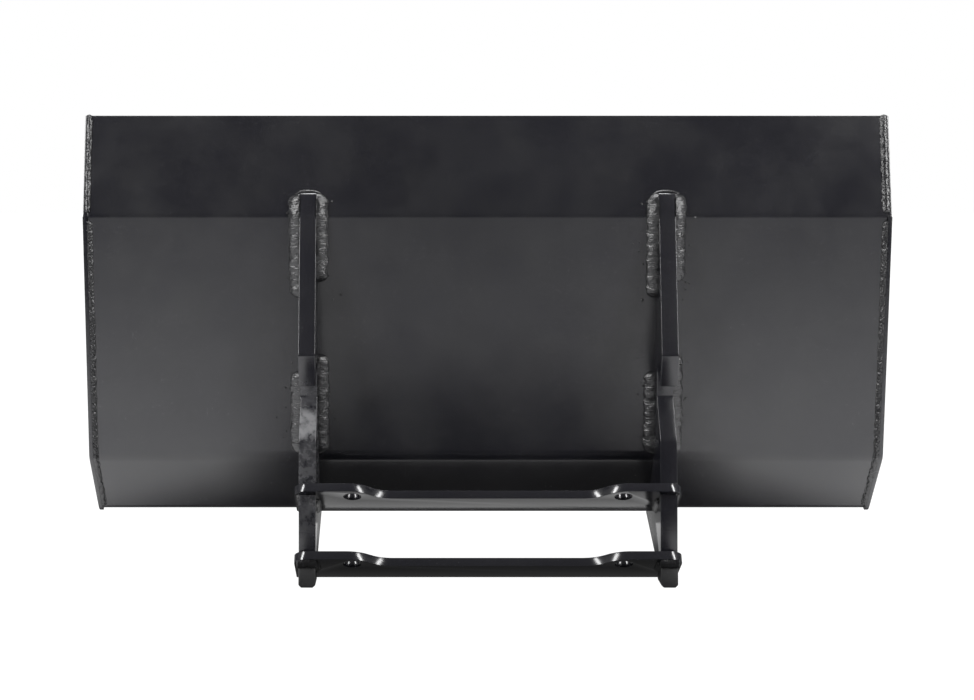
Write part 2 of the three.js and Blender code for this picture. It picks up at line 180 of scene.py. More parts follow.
def finish_piece(name: str, mesh: bmesh.types.BMesh, replaced: tuple[str, ...] = (),
                 smooth_angle: float = 35.0) -> bpy.types.Object:
    """Turns a bmesh into a piece that rides on the welded body.

    Args:
        name: the piece's name.
        mesh: the finished shape, in the row frame. It is freed here.
        replaced: the CAD nodes that the piece stands for.
        smooth_angle: edges sharper than this many degrees stay hard.

    Returns:
        The new object.
    """
    for face in mesh.faces:
        face.smooth = True
    for edge in mesh.edges:
        if len(edge.link_faces) == 2:
            edge.smooth = edge.calc_face_angle(0.0) < math.radians(smooth_angle)
    data = bpy.data.meshes.new(name)
    mesh.to_mesh(data)
    mesh.free()
    piece = bpy.data.objects.new(name, data)
    bpy.context.scene.collection.objects.link(piece)
    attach(piece, BODY)
    if replaced:
        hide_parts(*replaced)
    return piece


def merged_copy(node: str) -> bmesh.types.BMesh:
    """A clean copy of a CAD node: doubles merged and flat faces joined up.

    Args:
        node: the CAD node's name.

    Returns:
        A closed bmesh with one polygon for each flat face.
    """
    mesh = bmesh.new()
    mesh.from_mesh(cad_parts[node].data)
    bmesh.ops.remove_doubles(mesh, verts=mesh.verts, dist=0.02 * MM)
    bmesh.ops.dissolve_limit(mesh, angle_limit=math.radians(0.4), verts=mesh.verts, edges=mesh.edges)
    return mesh


def round_edges(mesh: bmesh.types.BMesh, radius: float, segments: int = 3,
                sharper_than: float = 30.0) -> None:
    """Rounds the hard edges of a plate, as shot blasting and paint leave them.

    Args:
        mesh: the plate.
        radius: width of the rounding, in metres.
        segments: faces across the rounding.
        sharper_than: edges below this angle, in degrees, are left alone.
    """
    limit = math.radians(sharper_than)
    hard = [e for e in mesh.edges if len(e.link_faces) == 2 and e.calc_face_angle(0.0) > limit]
    bmesh.ops.bevel(mesh, geom=hard, offset=radius, offset_type="OFFSET", segments=segments,
                    profile=0.5, affect="EDGES", clamp_overlap=True, material=-1,
                    harden_normals=False)


# ---- materials ----------------------------------------------------------------------------------


def new_group(name: str, inputs: dict[str, float], outputs: tuple[str, ...]) -> bpy.types.NodeTree:
    """Starts a shader node group with float sockets.

    Args:
        name: the group's name.
        inputs: each input's name and usual value.
        outputs: the names of the outputs.

    Returns:
        The group, with its input and output nodes in it.
    """
    group = bpy.data.node_groups.new(name, "ShaderNodeTree")
    for label, value in inputs.items():
        socket = group.interface.new_socket(label, in_out="INPUT", socket_type="NodeSocketFloat")
        socket.default_value = value
    for label in outputs:
        group.interface.new_socket(label, in_out="OUTPUT", socket_type="NodeSocketFloat")
    group.nodes.new("NodeGroupInput")
    group.nodes.new("NodeGroupOutput")
    return group


@dataclass
class Wiring:
    """A small helper that adds nodes to a tree and joins them.

    Attributes:
        tree: where the nodes go.
    """

    tree: bpy.types.NodeTree

    def add(self, kind: str, **settings: object) -> bpy.types.Node:
        """Adds a node, sets its properties, and fills the sockets named in settings["sockets"].

        Args:
            kind: the node's type.
            **settings: the node's properties, and sockets, a dict from socket to value or socket.

        Returns:
            The new node.
        """
        sockets = settings.pop("sockets", {})
        node = self.tree.nodes.new(kind)
        for key, value in settings.items():
            setattr(node, key, value)
        for key, value in sockets.items():
            if isinstance(value, bpy.types.NodeSocket):
                self.tree.links.new(value, node.inputs[key])
            else:
                node.inputs[key].default_value = value
        return node

    def math(self, operation: str, a: object, b: object = 0.0, clamp: bool = False
             ) -> bpy.types.NodeSocket:
        """One Math node's result."""
        node = self.add("ShaderNodeMath", operation=operation, use_clamp=clamp,
                        sockets={0: a, 1: b})
        return node.outputs[0]

    def mapped(self, value: object, low: float, high: float, to_low: float = 0.0,
               to_high: float = 1.0) -> bpy.types.NodeSocket:
        """A value's range stretched onto another, and held inside it."""
        node = self.add("ShaderNodeMapRange", clamp=True, sockets={
            0: value, 1: low, 2: high, 3: to_low, 4: to_high})
        return node.outputs[0]

    def noise(self, vector: object, scale: float, detail: float = 3.0, roughness: float = 0.5
              ) -> bpy.types.NodeSocket:
        """A noise texture's value."""
        node = self.add("ShaderNodeTexNoise", sockets={
            "Vector": vector, "Scale": scale, "Detail": detail, "Roughness": roughness})
        return node.outputs["Fac"]


def place_socket(wiring: Wiring) -> bpy.types.NodeSocket:
    """The Object coordinates, which on every piece are metres in the row frame."""
    return wiring.add("ShaderNodeTexCoord").outputs["Object"]


def build_orange_peel() -> bpy.types.NodeTree:
    """The slight waviness of sprayed and baked powder, as a height.

    Returns:
        A group with inputs Wave and Grain, the strengths of its two sizes, and output Height.
    """
    group = new_group("orange_peel", {"Wave": 1.0, "Grain": 1.0}, ("Height",))
    wire = Wiring(group)
    given = group.nodes["Group Input"]
    place = place_socket(wire)
    wave = wire.math("MULTIPLY", wire.noise(place, 240.0, 1.0), given.outputs["Wave"])
    grain = wire.math("MULTIPLY", wire.noise(place, 1400.0, 2.0), given.outputs["Grain"])
    total = wire.math("ADD", wave, grain)
    group.links.new(total, group.nodes["Group Output"].inputs["Height"])
    return group


# For each size of speck: cells in a metre, share left empty, widest speck in cells, brightness.
DUST_SIZES = ((210.0, 0.82, 0.11, 0.7), (520.0, 0.7, 0.19, 0.4))


def build_dust() -> bpy.types.NodeTree:
    """Specks and a faint film of dust.

    Returns:
        A group with inputs Specks and Film, and outputs Specks and Film, both masks.
    """
    group = new_group("dust", {"Specks": 0.5, "Film": 0.3}, ("Specks", "Film"))
    wire = Wiring(group)
    given = group.nodes["Group Input"]
    place = place_socket(wire)
    patch = wire.mapped(wire.noise(place, 9.0, 3.0), 0.3, 0.6, 0.5, 1.0)
    bright: object = 0.0
    for scale, gap, widest, weight in DUST_SIZES:
        cells = wire.add("ShaderNodeTexVoronoi", feature="F1", sockets={
            "Vector": place, "Scale": scale, "Randomness": 1.0})
        size = wire.add("ShaderNodeSeparateColor", sockets={"Color": cells.outputs["Color"]})
        kept = wire.math("GREATER_THAN", size.outputs[0], gap)
        radius = wire.mapped(size.outputs[1], 0.0, 1.0, 0.05, widest)
        dot = wire.math("LESS_THAN", cells.outputs["Distance"], radius)
        shown = wire.math("MULTIPLY", wire.math("MULTIPLY", dot, kept), size.outputs[2])
        bright = wire.math("MAXIMUM", bright, wire.math("MULTIPLY", shown, weight))
    specks = wire.math("MULTIPLY", wire.math("MULTIPLY", bright, patch), given.outputs["Specks"])
    cloud = wire.mapped(wire.noise(place, 11.0, 5.0, 0.62), 0.38, 0.72)
    film = wire.math("MULTIPLY", cloud, given.outputs["Film"])
    ends = group.nodes["Group Output"].inputs
    group.links.new(specks, ends["Specks"])
    group.links.new(film, ends["Film"])
    return group


def build_cut_lines() -> bpy.types.NodeTree:
    """Lines that a cutting torch leaves across the edge of a plate, as a height.

    The plates are cut across their thickness, which lies along X, so the lines run along X and
    only show on faces that X does not look at.

    Returns:
        A group with output Height.
    """
    group = new_group("cut_lines", {"Depth": 1.0}, ("Height",))
    wire = Wiring(group)
    given = group.nodes["Group Input"]
    flat = wire.add("ShaderNodeMapping", sockets={
        "Vector": place_socket(wire), "Scale": (0.03, 1.0, 1.0)}).outputs[0]
    lines = wire.noise(flat, 650.0, 2.0)
    facing = wire.add("ShaderNodeSeparateXYZ", sockets={
        "Vector": wire.add("ShaderNodeNewGeometry").outputs["Normal"]})
    edge_on = wire.math("LESS_THAN", wire.math("ABSOLUTE", facing.outputs["X"]), 0.35)
    height = wire.math("MULTIPLY", wire.math("MULTIPLY", lines, edge_on), given.outputs["Depth"])
    group.links.new(height, group.nodes["Group Output"].inputs["Height"])
    return group


def build_scuffs() -> bpy.types.NodeTree:
    """Rubbed places where a grinder or a chain has dulled the paint.

    Returns:
        A group with inputs X, Y, Z, the middle of the place in metres, Reach and Strength, and
        output Mask.
    """
    inputs = {"X": 0.0, "Y": 0.0, "Z": -10.0, "Reach": 0.03, "Strength": 1.0}
    group = new_group("scuffs", inputs, ("Mask",))
    wire = Wiring(group)
    given = group.nodes["Group Input"]
    place = place_socket(wire)
    middle = wire.add("ShaderNodeCombineXYZ", sockets={
        0: given.outputs["X"], 1: given.outputs["Y"], 2: given.outputs["Z"]})
    away = wire.add("ShaderNodeVectorMath", operation="DISTANCE", sockets={
        0: place, 1: middle.outputs[0]})
    near = wire.math("SUBTRACT", 1.0, wire.math(
        "DIVIDE", away.outputs["Value"], given.outputs["Reach"]), clamp=True)
    rubbed = wire.mapped(wire.noise(place, 85.0, 5.0, 0.65), 0.36, 0.6)
    worn = wire.math("MULTIPLY", wire.mapped(near, 0.0, 0.45), rubbed)
    mask = wire.math("MULTIPLY", worn, given.outputs["Strength"])
    group.links.new(mask, group.nodes["Group Output"].inputs["Mask"])
    return group


@dataclass(frozen=True)
class Scuff:
    """A rubbed place.

    Attributes:
        middle: its middle, in metres.
        reach: its size, in metres.
        strength: how much of the gloss is gone.
    """

    middle: tuple[float, float, float]
    reach: float
    strength: float = 1.0


@dataclass(frozen=True)
class PowderCoat:
    """Gloss black powder coat as one part of the bucket wears it.

    Attributes:
        name: the material's name.
        tone: linear colour of the clean coat.
        roughness: how far it scatters the light.
        spread: how much the roughness wanders.
        wave: strength of the orange peel.
        grain: strength of the fine texture.
        specks: how much the dust specks show.
        film: how much the dust film shows.
        cut_depth: strength of the lines on cut edges.
        scuffs: its rubbed places.
    """

    name: str
    tone: tuple[float, float, float] = (0.007, 0.007, 0.0095)
    roughness: float = 0.2
    spread: float = 0.04
    wave: float = 0.25
    grain: float = 0.25
    specks: float = 0.5
    film: float = 0.3
    cut_depth: float = 0.0
    scuffs: tuple[Scuff, ...] = ()

    def material(self) -> bpy.types.Material:
        """Builds the node tree.

        Returns:
            The material, with its Principled shader fed by the shared groups.
        """
        made = bpy.data.materials.new(self.name)
        made.use_nodes = True
        tree = made.node_tree
        wire = Wiring(tree)
        shader = tree.nodes["Principled BSDF"]
        shader.inputs["Specular IOR Level"].default_value = 0.5
        shader.inputs["IOR"].default_value = 1.6
        shader.inputs["Metallic"].default_value = 0.0
        place = place_socket(wire)

        dust = self.group(tree, "dust", {"Specks": self.specks, "Film": self.film})
        coat = wire.add("ShaderNodeMix", data_type="RGBA", sockets={
            "Factor": wire.mapped(wire.noise(place, 5.0, 4.0), 0.3, 0.7)})
        coat.inputs[6].default_value = (*self.tone, 1.0)
        coat.inputs[7].default_value = (*(1.25 * c for c in self.tone), 1.0)
        filmed = wire.add("ShaderNodeMix", data_type="RGBA")
        filmed.inputs[7].default_value = (0.03, 0.03, 0.03, 1.0)
        tree.links.new(dust.outputs["Film"], filmed.inputs[0])
        tree.links.new(coat.outputs[2], filmed.inputs[6])
        specked = wire.add("ShaderNodeMix", data_type="RGBA")
        specked.inputs[7].default_value = (0.42, 0.42, 0.42, 1.0)
        tree.links.new(dust.outputs["Specks"], specked.inputs[0])
        tree.links.new(filmed.outputs[2], specked.inputs[6])
        colour = specked.outputs[2]

        wander = wire.mapped(wire.noise(place, 18.0, 4.0, 0.6), 0.3, 0.7,
                             self.roughness - self.spread, self.roughness + self.spread)
        rough = wire.math("ADD", wander, wire.math("MULTIPLY", dust.outputs["Film"], 0.12))

        peel = self.group(tree, "orange_peel", {"Wave": self.wave, "Grain": self.grain})
        height = peel.outputs["Height"]
        if self.cut_depth:
            lines = self.group(tree, "cut_lines", {"Depth": self.cut_depth})
            height = wire.math("ADD", height, lines.outputs["Height"])
        for scuff in self.scuffs:
            x, y, z = scuff.middle
            rub = self.group(tree, "scuffs", {
                "X": x, "Y": y, "Z": z, "Reach": scuff.reach, "Strength": scuff.strength})
            rubbed = wire.add("ShaderNodeMix", data_type="RGBA")
            rubbed.inputs[7].default_value = (0.14, 0.14, 0.145, 1.0)
            tree.links.new(rub.outputs["Mask"], rubbed.inputs[0])
            tree.links.new(colour, rubbed.inputs[6])
            colour = rubbed.outputs[2]
            rough = wire.math("ADD", rough, wire.math("MULTIPLY", rub.outputs["Mask"], 0.3))
        bump = wire.add("ShaderNodeBump", sockets={
            "Strength": 0.35, "Distance": 0.0004, "Height": height})
        tree.links.new(colour, shader.inputs["Base Color"])
        tree.links.new(wire.math("MINIMUM", rough, 0.95), shader.inputs["Roughness"])
        tree.links.new(bump.outputs[0], shader.inputs["Normal"])
        return made

    @staticmethod
    def group(tree: bpy.types.NodeTree, name: str, values: dict[str, float]
              ) -> bpy.types.ShaderNodeGroup:
        """Places a shared group in a material with this material's values."""
        node = tree.nodes.new("ShaderNodeGroup")
        node.node_tree = bpy.data.node_groups[name]
        for label, value in values.items():
            node.inputs[label].default_value = value
        return node


@dataclass
class Finishes:
    """Every finish on the bucket, built once.

    Attributes:
        coats: each coat by its name.
        made: each coat's material, once prepare() has run.
    """

    coats: dict[str, PowderCoat] = field(default_factory=lambda: {
        coat.name: coat for coat in (
            PowderCoat("coat_sheet", wave=0.35, grain=0.45, specks=0.75, film=0.35),
            PowderCoat("coat_side", specks=0.6, film=0.4),
            PowderCoat("coat_plate", roughness=0.19, specks=0.4, film=0.2, cut_depth=0.35),
            PowderCoat("coat_plate_scuffed", roughness=0.19, specks=0.4, film=0.2, cut_depth=0.35,
                       scuffs=(Scuff(tuple(BACK.placed(146.0, 134.0, -0.272)), 0.03),
                               Scuff(tuple(BACK.placed(152.0, 84.0, -0.268)), 0.13, 0.3))),
            PowderCoat("coat_foot", roughness=0.32, spread=0.08, film=0.8, specks=0.8, wave=2.0,
                       grain=2.0, tone=(0.02, 0.02, 0.021), cut_depth=0.5),
            PowderCoat("coat_bar", roughness=0.17, specks=0.3, film=0.12, wave=0.2),
            PowderCoat("coat_edge", roughness=0.24, specks=0.4, film=0.3),
            PowderCoat("coat_weld", roughness=0.2, spread=0.06, wave=1.6, grain=2.2, specks=0.5,
                       film=0.3, tone=(0.009, 0.009, 0.01)),
        )})
    made: dict[str, bpy.types.Material] = field(default_factory=dict)

    def prepare(self) -> None:
        """Builds the shared groups and then every material."""
        build_orange_peel()
        build_dust()
        build_cut_lines()
        build_scuffs()
        for name, coat in self.coats.items():
            self.made[name] = coat.material()

    def dress(self, piece: bpy.types.Object, name: str) -> None:
        """Gives a piece one of the finishes, in place of whatever it had."""
        piece.data.materials.clear()
        piece.data.materials.append(self.made[name])


# ---- sheet and plates ---------------------------------------------------------------------------


@dataclass
class Shell:
    """The bent sheet, its side plates and the cutting edge.

    Attributes:
        finishes: where the coats come from.
        edge_radius: rounding on the sheet's cut edges.
        bend_segments: faces round each bend.
        gentle_radius: bend radius where the sheet turns less than 40 degrees.
    """

    finishes: Finishes
    edge_radius: float = 0.7 * MM
    bend_segments: int = 14
    gentle_radius: float = 34.0 * MM

    def build(self) -> Iterator[bpy.types.Object]:
        """Builds and dresses the shell's pieces, one at a time."""
        yield self.sheet()
        for hand in Hand:
            yield self.side_plate(hand)
        yield self.cutting_edge()

    def sheet(self) -> bpy.types.Object:
        """The back and floor: one sheet, bent three times."""
        low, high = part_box("shell_sheet")
        mesh = bmesh.new()
        line = [mesh.verts.new(BACK.placed(*corner, x=low.x)) for corner in BACK.corners]
        edges = [mesh.edges.new(pair) for pair in zip(line, line[1:])]
        swept = bmesh.ops.extrude_edge_only(mesh, edges=edges)
        moved = [v for v in swept["geom"] if isinstance(v, bmesh.types.BMVert)]
        bmesh.ops.translate(mesh, verts=moved, vec=(high.x - low.x, 0.0, 0.0))
        bends = [e for e in mesh.edges if len(e.link_faces) == 2]
        self.bend(mesh, bends)
        bmesh.ops.recalc_face_normals(mesh, faces=mesh.faces)
        floor = min(mesh.faces, key=lambda f: f.calc_center_median().z)
        if floor.normal.z > 0:
            bmesh.ops.reverse_faces(mesh, faces=mesh.faces)
        bmesh.ops.solidify(mesh, geom=list(mesh.faces), thickness=BACK.sheet * MM)
        bmesh.ops.recalc_face_normals(mesh, faces=mesh.faces)
        round_edges(mesh, self.edge_radius, segments=2, sharper_than=60.0)
        piece = finish_piece("back_and_floor_sheet", mesh, ("shell_sheet",), 20.0)
        self.finishes.dress(piece, "coat_sheet")
        return piece

    def bend(self, mesh: bmesh.types.BMesh, bends: list[bmesh.types.BMEdge]) -> None:
        """Rounds each bend to the press tool's radius.

        Args:
            mesh: the folded sheet, still without thickness.
            bends: its three fold lines.
        """
        for bend in bends:
            turn = bend.calc_face_angle()
            gentle = turn < math.radians(40.0)
            radius = self.gentle_radius if gentle else BACK.bend_radius * MM
            setback = radius * math.tan(turn / 2)
            bmesh.ops.bevel(mesh, geom=[bend], offset=setback, offset_type="OFFSET",
                            segments=self.bend_segments, profile=0.5, affect="EDGES",
                            clamp_overlap=False, material=-1)

    def side_plate(self, hand: Hand) -> bpy.types.Object:
        """A side plate with rounded edges."""
        node = f"side_plate_{hand.word}"
        mesh = merged_copy(node)
        round_edges(mesh, self.edge_radius, segments=2)
        piece = finish_piece(f"end_plate_{hand.word}", mesh, (node,))
        self.finishes.dress(piece, "coat_side")
        return piece

    def cutting_edge(self) -> bpy.types.Object:
        """The hard cutting edge under the front of the floor."""
        mesh = merged_copy("cutting_edge")
        round_edges(mesh, 0.6 * MM, segments=2, sharper_than=15.0)
        piece = finish_piece("bevelled_cutting_edge", mesh, ("cutting_edge",))
        self.finishes.dress(piece, "coat_edge")
        return piece


@dataclass
class Brackets:
    """Hook plates, crossbars and feet.

    Attributes:
        finishes: where the coats come from.
        plate_radius: rounding on the hook plates' and feet's cut edges.
        bar_radius: rounding on the crossbars' edges.
    """

    finishes: Finishes
    plate_radius: float = 1.2 * MM
    bar_radius: float = 1.5 * MM

    def build(self) -> Iterator[bpy.types.Object]:
        """Builds and dresses the brackets' pieces, one at a time."""
        for hand in Hand:
            coat = "coat_plate_scuffed" if hand is Hand.LEFT else "coat_plate"
            yield self.softened(f"hook_plate_{hand.word}", f"hook_bracket_{hand.word}", coat,
                                self.plate_radius)
            yield self.softened(f"foot_{hand.word}", f"foot_block_{hand.word}", "coat_foot",
                                self.plate_radius)
        for place in ("upper", "lower"):
            yield self.softened(f"crossbar_{place}", f"pinned_bar_{place}", "coat_bar",
                                self.bar_radius)

    def softened(self, node: str, name: str, coat: str, radius: float) -> bpy.types.Object:
        """A cut plate with its edges rounded.

        Args:
            node: the CAD node to start from.
            name: the new piece's name.
            coat: the finish.
            radius: the rounding, in metres.

        Returns:
            The new piece.
        """
        mesh = merged_copy(node)
        round_edges(mesh, radius, segments=3)
        piece = finish_piece(name, mesh, (node,))
        self.finishes.dress(piece, coat)
        return piece


# ---- weld beads ---------------------------------------------------------------------------------


@dataclass(frozen=True)
class Rung:
    """One place along a bead.

    Attributes:
        root: the corner that the bead fills, in the row frame.
        over: unit direction across the surface that it lies on.
        up: unit direction up the surface that it leans on.
    """

    root: Vector
    over: Vector
    up: Vector


Path = Callable[[float], Rung]


@dataclass(frozen=True)
class Bead:
    """How one run of weld was laid. All sizes are in millimetres.

    Attributes:
        length: of the run.
        width: reach across the surface it lies on.
        height: reach up the surface it leans on.
        dome: whether it lies on a flat instead of in a corner. Its width is then centred.
        ripple: spacing of the ripples.
        depth: depth of the ripples.
        lumps: size of its slow unevenness.
        taper: how far from each end it starts to sink.
        flat: 1 for a round face, 2 for a flat one.
        seed: picks its noise.
        rounds: faces round the section.
        sink: how far its hidden faces lie inside the plates.
        in_the_open: share of the section that shows.
    """

    length: float
    width: float
    height: float
    dome: bool = False
    ripple: float = 3.4
    depth: float = 0.5
    lumps: float = 0.9
    taper: float = 7.0
    flat: float = 1.3
    seed: float = 0.0
    rounds: int = 20
    sink: float = 0.5
    in_the_open: float = 0.8

    def section(self, around: float) -> tuple[float, float]:
        """A place on the closed section: across and up, in millimetres.

        Args:
            around: 0 to 1 round the section, starting with the part that is in the open.

        Returns:
            The place, measured from the root.
        """
        if around > self.in_the_open:
            t = (around - self.in_the_open) / (1.0 - self.in_the_open)
            if self.dome:
                return self.width * (t - 0.5), -self.sink
            if t < 0.5:
                return -self.sink, self.height - (self.sink + self.height) * 2 * t
            return (self.width + self.sink) * (2 * t - 1) - self.sink, -self.sink
        turn = around / self.in_the_open * (math.pi if self.dome else math.pi / 2)
        across = math.copysign(abs(math.cos(turn)) ** self.flat, math.cos(turn))
        half = 0.5 if self.dome else 1.0
        return across * self.width * half, math.sin(turn) ** self.flat * self.height

    def swell(self, travel: float, around: float) -> float:
        """How far the face stands out or sinks in at a place, as a share of the bead's size."""
        wander = noise.noise(Vector((travel / 15.0, 3.1, self.seed)))
        bow = 2.2 * (around / self.in_the_open - 0.5) ** 2
        crest = abs(math.sin(math.pi * (travel / self.ripple + wander + bow))) ** 0.6
        slow = noise.noise(Vector((travel / 8.0, around * 2.5, self.seed + 9.0)))
        quick = noise.noise(Vector((travel / 2.4, around * 7.0, self.seed + 5.0)))
        change = self.depth * (crest - 0.7) + self.lumps * (slow + 0.45 * quick)
        return change / math.sqrt(self.width * self.height)

    def fullness(self, travel: float) -> float:
        """The bead's size at a place along it, sinking at both ends."""
        left = min(travel, self.length - travel) / self.taper
        return 1.0 if left >= 1.0 else 0.18 + 0.82 * math.sqrt(max(0.0, 1.0 - (1.0 - left) ** 2))

    def lay(self, mesh: bmesh.types.BMesh, path: Path) -> None:
        """Adds the bead to a mesh as a closed body.

        Args:
            mesh: where it goes.
            path: gives the rung at each distance along the run, in millimetres.
        """
        steps = max(10, round(self.length / self.ripple * 5))
        rungs = [path(self.length * i / steps) for i in range(steps + 1)]
        made = bmesh.ops.create_grid(mesh, x_segments=steps, y_segments=self.rounds, size=1.0)
        for vert in made["verts"]:
            index = round((vert.co.x + 1.0) / 2.0 * steps)
            row = round((vert.co.y + 1.0) / 2.0 * self.rounds)
            around = row % self.rounds / self.rounds          # the last row meets the first
            travel = self.length * index / steps
            across, up = self.section(around)
            size = self.fullness(travel)
            if around <= self.in_the_open:
                size *= 1.0 + self.swell(travel, around)
            rung = rungs[index]
            vert.co = rung.root + (rung.over * across + rung.up * up) * size * MM
        bmesh.ops.remove_doubles(mesh, verts=made["verts"], dist=0.002 * MM)
        loops = [e for e in mesh.edges if e.is_boundary]
        bmesh.ops.holes_fill(mesh, edges=loops, sides=0)


@dataclass(frozen=True)
class Bar:
    """One of the two crossbars, as it is drawn in the side view. Lengths are in millimetres.

    Attributes:
        behind: distance of its near edge behind the heel.
        height: height of that edge's middle above the floor's underside.
        tilt: how far it falls away from that edge, in radians.
        depth: from its near edge to its far edge.
        clear: from its middle to its top.
    """

    behind: float
    height: float
    tilt: float = math.radians(25.0)
    depth: float = 80.0
    clear: float = 6.35

    def placed(self, depth: float, rise: float, x: float = 0.0) -> Vector:
        """A place on the bar: depth in from its near face, rise above its middle."""
        behind = self.behind - depth * math.cos(self.tilt) - rise * math.sin(self.tilt)
        height = self.height - depth * math.sin(self.tilt) + rise * math.cos(self.tilt)
        return BACK.placed(behind, height, x)

    def turned(self, depth: float, rise: float) -> Vector:
        """A direction given along the bar's depth and thickness, in the row frame."""
        return (self.placed(depth, rise) - self.placed(0.0, 0.0)).normalized()


@dataclass
class Welds:
    """Every weld on the bucket.

    Attributes:
        finishes: where the coats come from.
        plate: thickness of the hook plates, in millimetres.
        centre: distance of each hook plate from the middle.
        side_inner: distance of the side plates' inner faces from the middle.
        half_width: distance of their outer faces from the middle.
        upper_bar: the crossbar that passes through the hook plates.
        lower_bar: the crossbar that they stand on.
    """

    finishes: Finishes
    plate: float = HOOK_PLATE
    centre: float = HOOK_CENTRE
    side_inner: float = 603.1
    half_width: float = 609.5
    upper_bar: Bar = Bar(166.5, 40.2)
    lower_bar: Bar = Bar(168.0, -60.4)

    def build(self) -> Iterator[bpy.types.Object]:
        """Builds and dresses the welds' pieces, one at a time."""
        for hand in Hand:
            yield from self.hook_stitches(hand)
            yield self.top_weld(hand)
            yield self.heel_weld(hand)
            yield self.side_seam(hand)
            yield self.inner_seam(hand)
            yield self.lip_weld(hand)
            yield self.upper_bar_weld(hand)
            yield self.lower_bar_weld(hand)
            yield self.foot_weld(hand)
        yield from self.edge_welds()

    def finished(self, mesh: bmesh.types.BMesh, name: str, *nodes: str) -> bpy.types.Object:
        """Turns laid beads into a dressed piece that stands for the CAD's plain ones."""
        bmesh.ops.recalc_face_normals(mesh, faces=mesh.faces)
        piece = finish_piece(name, mesh, nodes, 80.0)
        self.finishes.dress(piece, "coat_weld")
        return piece

    @staticmethod
    def along_back(start: float, x: float, away: int, outside: bool = True) -> Path:
        """A path down the back, in the corner between the sheet and a plate of constant x.

        Args:
            start: distance from the lip where it begins, in millimetres.
            x: of the plate's face, in millimetres.
            away: the direction that the bead reaches in across the sheet, along X.
            outside: whether it lies on the outside of the sheet.

        Returns:
            The path.
        """
        def rung(travel: float) -> Rung:
            """The rung at a distance along the bead."""
            station = BACK.at(start + travel)
            point = station.point + Vector((x * MM, 0.0, 0.0))
            if outside:
                return Rung(point, Vector((away, 0.0, 0.0)), station.out)
            inside = point - station.out * BACK.sheet * MM
            return Rung(inside, Vector((away, 0.0, 0.0)), -station.out)
        return rung

    @staticmethod
    def straight(start: Vector, end: Vector, over: Vector, up: Vector, length: float) -> Path:
        """A straight path from one place to another."""
        return lambda travel: Rung(start.lerp(end, travel / length), over, up)

    def hook_stitches(self, hand: Hand) -> Iterator[bpy.types.Object]:
        """The four long stitches that hold a hook plate to the back.

        The welder worked from one end, so the beads on every left face run lower.
        """
        runs = {"upper": {-1: (121.0, 279.0), 1: (121.0, 255.0)},
                "lower": {-1: (391.0, 519.0), 1: (365.0, 519.0)}}
        for place, faces in runs.items():
            for face, (start, end) in faces.items():
                which = "outer" if face == hand.value else "inner"
                x = hand.value * self.centre + face * self.plate / 2
                mesh = bmesh.new()
                bead = Bead(end - start, 17.0, 10.5, depth=0.3, lumps=1.2, taper=13.0,
                            seed=x + start)
                bead.lay(mesh, self.along_back(start, x, face))
                yield self.finished(mesh, f"stitch_{place}_{which}_{hand.word}",
                                    f"hook_weld_{place}_{which}_{hand.word}")

    def top_weld(self, hand: Hand) -> bpy.types.Object:
        """The thin weld that wraps over the top end of a hook plate."""
        reach, rise, top = self.plate / 2 + 5.0, 5.0, 122.5
        length = math.pi * (reach + rise) / 2

        def rung(travel: float) -> Rung:
            """The rung at a distance round the plate's end."""
            turn = math.pi * travel / length
            station = BACK.at(top - rise * math.sin(turn))
            down = (BACK.at(top + 1.0).point - BACK.at(top).point).normalized()
            x = hand.value * self.centre + reach * math.cos(turn)
            over = Vector((math.cos(turn), 0.0, 0.0)) - down * math.sin(turn)
            return Rung(station.point + Vector((x * MM, 0.0, 0.0)), over, station.out)

        mesh = bmesh.new()
        Bead(length, 6.0, 3.2, dome=True, taper=5.0, lumps=0.6, seed=hand.value).lay(mesh, rung)
        return self.finished(mesh, f"top_weld_{hand.word}", f"hook_weld_top_{hand.word}")

    def heel_weld(self, hand: Hand) -> bpy.types.Object:
        """The short bead beside a hook plate at the heel."""
        mesh = bmesh.new()
        start, end = 549.0, 575.0
        x = hand.value * (self.centre + self.plate / 2)
        Bead(end - start, 5.0, 5.0, ripple=2.6, seed=x).lay(
            mesh, self.along_back(start, x, hand.value))
        return self.finished(mesh, f"heel_weld_{hand.word}", f"hook_weld_heel_{hand.word}")

    def side_seam(self, hand: Hand) -> bpy.types.Object:
        """The bead between the back sheet and a side plate's proud edge."""
        mesh = bmesh.new()
        start, end = BACK.travel_to(1) + 8.0, BACK.travel_to(3) - 6.0
        Bead(end - start, 7.0, 4.0, ripple=5.5, depth=0.9, lumps=1.5, taper=6.0,
             seed=hand.value + 2.0).lay(
            mesh, self.along_back(start, hand.value * self.side_inner, -hand.value))
        return self.finished(mesh, f"seam_{hand.word}", f"side_seam_weld_{hand.word}")

    def inner_seam(self, hand: Hand) -> bpy.types.Object:
        """The bead inside the bucket, round the whole corner of sheet and side plate."""
        mesh = bmesh.new()
        start, end = 4.0, BACK.travel_to(3) + 440.0
        Bead(end - start, 6.0, 6.0, ripple=3.8, lumps=0.5, rounds=14, seed=hand.value + 4.0).lay(
            mesh, self.along_back(start, hand.value * self.side_inner, -hand.value, False))
        return self.finished(mesh, f"inside_seam_{hand.word}", f"inner_seam_weld_{hand.word}")

    def lip_weld(self, hand: Hand) -> bpy.types.Object:
        """The lumpy bead over a side plate's edge, from the lip to the shoulder."""
        mesh = bmesh.new()
        start, end = -1.6, BACK.travel_to(1) - 4.0
        width, inset = 12.0 if hand is Hand.RIGHT else 9.0, 1.8
        middle = hand.value * (self.half_width - inset - width / 2)
        Bead(end - start, width, 3.6, dome=True, ripple=7.5, depth=1.3, lumps=2.1, taper=3.0,
             seed=hand.value + 6.0).lay(mesh, self.along_back(start, middle, hand.value))
        return self.finished(mesh, f"lip_weld_{hand.word}", f"lip_corner_weld_{hand.word}")

